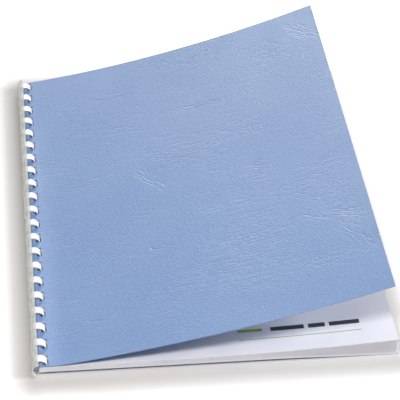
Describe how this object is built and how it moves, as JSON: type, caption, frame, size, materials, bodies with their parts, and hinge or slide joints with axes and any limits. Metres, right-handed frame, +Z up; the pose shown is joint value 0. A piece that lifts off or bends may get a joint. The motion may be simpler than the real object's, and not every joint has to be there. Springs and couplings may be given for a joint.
{
  "type": "comb-bound booklet",
  "caption": "Report of loose leaves between leather-grain card covers, held along one edge by a clear plastic comb; the covers and leaves turn on the comb.",
  "frame": {"origin": "middle of the booklet's footprint, on the surface it lies on", "axes": "+Y along the bound edge, +X from the comb to the fore edge, +Z up"},
  "size_m": [0.2142, 0.3002, 0.0617],
  "materials": {
    "cover_card": "leather-grain embossed card",
    "leaf_paper": "smooth uncoated paper",
    "comb_plastic": "clear"
  },
  "bodies": {
    "back_cover": {"back_cover": "cover_card"},
    "leaf_01": {"leaf_01": "leaf_paper"},
    "leaf_02": {"leaf_02": "leaf_paper"},
    "leaf_03": {"leaf_03": "leaf_paper"},
    "leaf_04": {"leaf_04": "leaf_paper"},
    "leaf_05": {"leaf_05": "leaf_paper"},
    "leaf_06": {"leaf_06": "leaf_paper"},
    "leaf_07": {"leaf_07": "leaf_paper"},
    "leaf_08": {"leaf_08": "leaf_paper"},
    "leaf_09": {"leaf_09": "leaf_paper"},
    "leaf_10": {"leaf_10": "leaf_paper"},
    "leaf_11": {"leaf_11": "leaf_paper"},
    "leaf_12": {"leaf_12": "leaf_paper"},
    "leaf_13": {"leaf_13": "leaf_paper"},
    "leaf_14": {"leaf_14": "leaf_paper"},
    "leaf_15": {"leaf_15": "leaf_paper"},
    "leaf_16": {"leaf_16": "leaf_paper"},
    "leaf_17": {"leaf_17": "leaf_paper"},
    "leaf_18": {"leaf_18": "leaf_paper"},
    "leaf_19": {"leaf_19": "leaf_paper"},
    "leaf_20": {"leaf_20": "leaf_paper"},
    "leaf_21": {"leaf_21": "leaf_paper"},
    "leaf_22": {"leaf_22": "leaf_paper"},
    "leaf_23": {"leaf_23": "leaf_paper"},
    "leaf_24": {"leaf_24": "leaf_paper"},
    "leaf_25": {"leaf_25": "leaf_paper"},
    "leaf_26": {"leaf_26": "leaf_paper"},
    "leaf_27": {"leaf_27": "leaf_paper"},
    "leaf_28": {"leaf_28": "leaf_paper"},
    "leaf_29": {"leaf_29": "leaf_paper"},
    "leaf_30": {"leaf_30": "leaf_paper"},
    "leaf_31": {"leaf_31": "leaf_paper"},
    "title_page": {"title_page": "leaf_paper"},
    "front_cover": {"front_cover": "cover_card"},
    "comb": {"comb": "comb_plastic"}
  },
  "joints": [
    {"name": "front_cover_turn", "type": "hinge", "parent": "back_cover", "child": "front_cover", "pos_m": [-0.1029, 0, 0.00505], "axis": [0, -1, 0], "range_deg": [0, 140]},
    {"name": "leaf_01_turn", "type": "hinge", "parent": "back_cover", "child": "leaf_01", "pos_m": [-0.1029, 0, 0.00505], "axis": [0, -1, 0], "range_deg": [0, 140]},
    {"name": "leaf_02_turn", "type": "hinge", "parent": "back_cover", "child": "leaf_02", "pos_m": [-0.1029, 0, 0.00505], "axis": [0, -1, 0], "range_deg": [0, 140]},
    {"name": "leaf_03_turn", "type": "hinge", "parent": "back_cover", "child": "leaf_03", "pos_m": [-0.1029, 0, 0.00505], "axis": [0, -1, 0], "range_deg": [0, 140]},
    {"name": "leaf_04_turn", "type": "hinge", "parent": "back_cover", "child": "leaf_04", "pos_m": [-0.1029, 0, 0.00505], "axis": [0, -1, 0], "range_deg": [0, 140]},
    {"name": "leaf_05_turn", "type": "hinge", "parent": "back_cover", "child": "leaf_05", "pos_m": [-0.1029, 0, 0.00505], "axis": [0, -1, 0], "range_deg": [0, 140]},
    {"name": "leaf_06_turn", "type": "hinge", "parent": "back_cover", "child": "leaf_06", "pos_m": [-0.1029, 0, 0.00505], "axis": [0, -1, 0], "range_deg": [0, 140]},
    {"name": "leaf_07_turn", "type": "hinge", "parent": "back_cover", "child": "leaf_07", "pos_m": [-0.1029, 0, 0.00505], "axis": [0, -1, 0], "range_deg": [0, 140]},
    {"name": "leaf_08_turn", "type": "hinge", "parent": "back_cover", "child": "leaf_08", "pos_m": [-0.1029, 0, 0.00505], "axis": [0, -1, 0], "range_deg": [0, 140]},
    {"name": "leaf_09_turn", "type": "hinge", "parent": "back_cover", "child": "leaf_09", "pos_m": [-0.1029, 0, 0.00505], "axis": [0, -1, 0], "range_deg": [0, 140]},
    {"name": "leaf_10_turn", "type": "hinge", "parent": "back_cover", "child": "leaf_10", "pos_m": [-0.1029, 0, 0.00505], "axis": [0, -1, 0], "range_deg": [0, 140]},
    {"name": "leaf_11_turn", "type": "hinge", "parent": "back_cover", "child": "leaf_11", "pos_m": [-0.1029, 0, 0.00505], "axis": [0, -1, 0], "range_deg": [0, 140]},
    {"name": "leaf_12_turn", "type": "hinge", "parent": "back_cover", "child": "leaf_12", "pos_m": [-0.1029, 0, 0.00505], "axis": [0, -1, 0], "range_deg": [0, 140]},
    {"name": "leaf_13_turn", "type": "hinge", "parent": "back_cover", "child": "leaf_13", "pos_m": [-0.1029, 0, 0.00505], "axis": [0, -1, 0], "range_deg": [0, 140]},
    {"name": "leaf_14_turn", "type": "hinge", "parent": "back_cover", "child": "leaf_14", "pos_m": [-0.1029, 0, 0.00505], "axis": [0, -1, 0], "range_deg": [0, 140]},
    {"name": "leaf_15_turn", "type": "hinge", "parent": "back_cover", "child": "leaf_15", "pos_m": [-0.1029, 0, 0.00505], "axis": [0, -1, 0], "range_deg": [0, 140]},
    {"name": "leaf_16_turn", "type": "hinge", "parent": "back_cover", "child": "leaf_16", "pos_m": [-0.1029, 0, 0.00505], "axis": [0, -1, 0], "range_deg": [0, 140]},
    {"name": "leaf_17_turn", "type": "hinge", "parent": "back_cover", "child": "leaf_17", "pos_m": [-0.1029, 0, 0.00505], "axis": [0, -1, 0], "range_deg": [0, 140]},
    {"name": "leaf_18_turn", "type": "hinge", "parent": "back_cover", "child": "leaf_18", "pos_m": [-0.1029, 0, 0.00505], "axis": [0, -1, 0], "range_deg": [0, 140]},
    {"name": "leaf_19_turn", "type": "hinge", "parent": "back_cover", "child": "leaf_19", "pos_m": [-0.1029, 0, 0.00505], "axis": [0, -1, 0], "range_deg": [0, 140]},
    {"name": "leaf_20_turn", "type": "hinge", "parent": "back_cover", "child": "leaf_20", "pos_m": [-0.1029, 0, 0.00505], "axis": [0, -1, 0], "range_deg": [0, 140]},
    {"name": "leaf_21_turn", "type": "hinge", "parent": "back_cover", "child": "leaf_21", "pos_m": [-0.1029, 0, 0.00505], "axis": [0, -1, 0], "range_deg": [0, 140]},
    {"name": "leaf_22_turn", "type": "hinge", "parent": "back_cover", "child": "leaf_22", "pos_m": [-0.1029, 0, 0.00505], "axis": [0, -1, 0], "range_deg": [0, 140]},
    {"name": "leaf_23_turn", "type": "hinge", "parent": "back_cover", "child": "leaf_23", "pos_m": [-0.1029, 0, 0.00505], "axis": [0, -1, 0], "range_deg": [0, 140]},
    {"name": "leaf_24_turn", "type": "hinge", "parent": "back_cover", "child": "leaf_24", "pos_m": [-0.1029, 0, 0.00505], "axis": [0, -1, 0], "range_deg": [0, 140]},
    {"name": "leaf_25_turn", "type": "hinge", "parent": "back_cover", "child": "leaf_25", "pos_m": [-0.1029, 0, 0.00505], "axis": [0, -1, 0], "range_deg": [0, 140]},
    {"name": "leaf_26_turn", "type": "hinge", "parent": "back_cover", "child": "leaf_26", "pos_m": [-0.1029, 0, 0.00505], "axis": [0, -1, 0], "range_deg": [0, 140]},
    {"name": "leaf_27_turn", "type": "hinge", "parent": "back_cover", "child": "leaf_27", "pos_m": [-0.1029, 0, 0.00505], "axis": [0, -1, 0], "range_deg": [0, 140]},
    {"name": "leaf_28_turn", "type": "hinge", "parent": "back_cover", "child": "leaf_28", "pos_m": [-0.1029, 0, 0.00505], "axis": [0, -1, 0], "range_deg": [0, 140]},
    {"name": "leaf_29_turn", "type": "hinge", "parent": "back_cover", "child": "leaf_29", "pos_m": [-0.1029, 0, 0.00505], "axis": [0, -1, 0], "range_deg": [0, 140]},
    {"name": "leaf_30_turn", "type": "hinge", "parent": "back_cover", "child": "leaf_30", "pos_m": [-0.1029, 0, 0.00505], "axis": [0, -1, 0], "range_deg": [0, 140]},
    {"name": "leaf_31_turn", "type": "hinge", "parent": "back_cover", "child": "leaf_31", "pos_m": [-0.1029, 0, 0.00505], "axis": [0, -1, 0], "range_deg": [0, 140]},
    {"name": "title_page_turn", "type": "hinge", "parent": "back_cover", "child": "title_page", "pos_m": [-0.1029, 0, 0.00505], "axis": [0, -1, 0], "range_deg": [0, 140]},
    {"name": "comb_roll", "type": "hinge", "parent": "back_cover", "child": "comb", "pos_m": [-0.10235, 0, 0.00475], "axis": [0, -1, 0], "range_deg": [0, 63]}
  ],
  "couplings": [
    {"joint": "leaf_01_turn", "follows": "front_cover_turn", "ratio": 0.00184},
    {"joint": "leaf_02_turn", "follows": "front_cover_turn", "ratio": 0.00735},
    {"joint": "leaf_03_turn", "follows": "front_cover_turn", "ratio": 0.01653},
    {"joint": "leaf_04_turn", "follows": "front_cover_turn", "ratio": 0.02938},
    {"joint": "leaf_05_turn", "follows": "front_cover_turn", "ratio": 0.04591},
    {"joint": "leaf_06_turn", "follows": "front_cover_turn", "ratio": 0.06612},
    {"joint": "leaf_07_turn", "follows": "front_cover_turn", "ratio": 0.08999},
    {"joint": "leaf_08_turn", "follows": "front_cover_turn", "ratio": 0.11754},
    {"joint": "leaf_09_turn", "follows": "front_cover_turn", "ratio": 0.14876},
    {"joint": "leaf_10_turn", "follows": "front_cover_turn", "ratio": 0.18365},
    {"joint": "leaf_11_turn", "follows": "front_cover_turn", "ratio": 0.22222},
    {"joint": "leaf_12_turn", "follows": "front_cover_turn", "ratio": 0.26446},
    {"joint": "leaf_13_turn", "follows": "front_cover_turn", "ratio": 0.31038},
    {"joint": "leaf_14_turn", "follows": "front_cover_turn", "ratio": 0.35996},
    {"joint": "leaf_15_turn", "follows": "front_cover_turn", "ratio": 0.41322},
    {"joint": "leaf_16_turn", "follows": "front_cover_turn", "ratio": 0.47016},
    {"joint": "leaf_17_turn", "follows": "front_cover_turn", "ratio": 0.52984},
    {"joint": "leaf_18_turn", "follows": "front_cover_turn", "ratio": 0.58678},
    {"joint": "leaf_19_turn", "follows": "front_cover_turn", "ratio": 0.64004},
    {"joint": "leaf_20_turn", "follows": "front_cover_turn", "ratio": 0.68962},
    {"joint": "leaf_21_turn", "follows": "front_cover_turn", "ratio": 0.73554},
    {"joint": "leaf_22_turn", "follows": "front_cover_turn", "ratio": 0.77778},
    {"joint": "leaf_23_turn", "follows": "front_cover_turn", "ratio": 0.81635},
    {"joint": "leaf_24_turn", "follows": "front_cover_turn", "ratio": 0.85124},
    {"joint": "leaf_25_turn", "follows": "front_cover_turn", "ratio": 0.88246},
    {"joint": "leaf_26_turn", "follows": "front_cover_turn", "ratio": 0.91001},
    {"joint": "leaf_27_turn", "follows": "front_cover_turn", "ratio": 0.93388},
    {"joint": "leaf_28_turn", "follows": "front_cover_turn", "ratio": 0.95409},
    {"joint": "leaf_29_turn", "follows": "front_cover_turn", "ratio": 0.97062},
    {"joint": "leaf_30_turn", "follows": "front_cover_turn", "ratio": 0.98347},
    {"joint": "leaf_31_turn", "follows": "front_cover_turn", "ratio": 0.99265},
    {"joint": "title_page_turn", "follows": "front_cover_turn", "ratio": 0.99816},
    {"joint": "comb_roll", "follows": "front_cover_turn", "ratio": 0.45}
  ]
}
